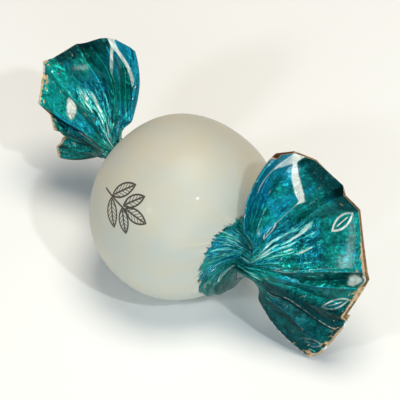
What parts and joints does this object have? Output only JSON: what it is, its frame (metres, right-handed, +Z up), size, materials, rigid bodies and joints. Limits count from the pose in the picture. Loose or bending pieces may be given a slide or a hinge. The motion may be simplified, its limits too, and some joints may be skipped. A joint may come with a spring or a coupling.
{
  "type": "twist-wrapped mint fondant",
  "caption": "Round mint fondant shut in pearly film, lying on its side, with twisted teal ends spread into pleated fans.",
  "frame": {"origin": "on the flat spot that the sweet rests on, straight under its middle", "axes": "+X runs along the sweet from its far twist to its near one, +Z is up"},
  "size_m": [0.063, 0.0283, 0.0296],
  "materials": {
    "printed_film": "pearly cream film over the sweet, with metallic teal print on the gathered and fanned ends"
  },
  "bodies": {
    "root": {"wrapped_sweet": "printed_film"}
  },
  "joints": []
}
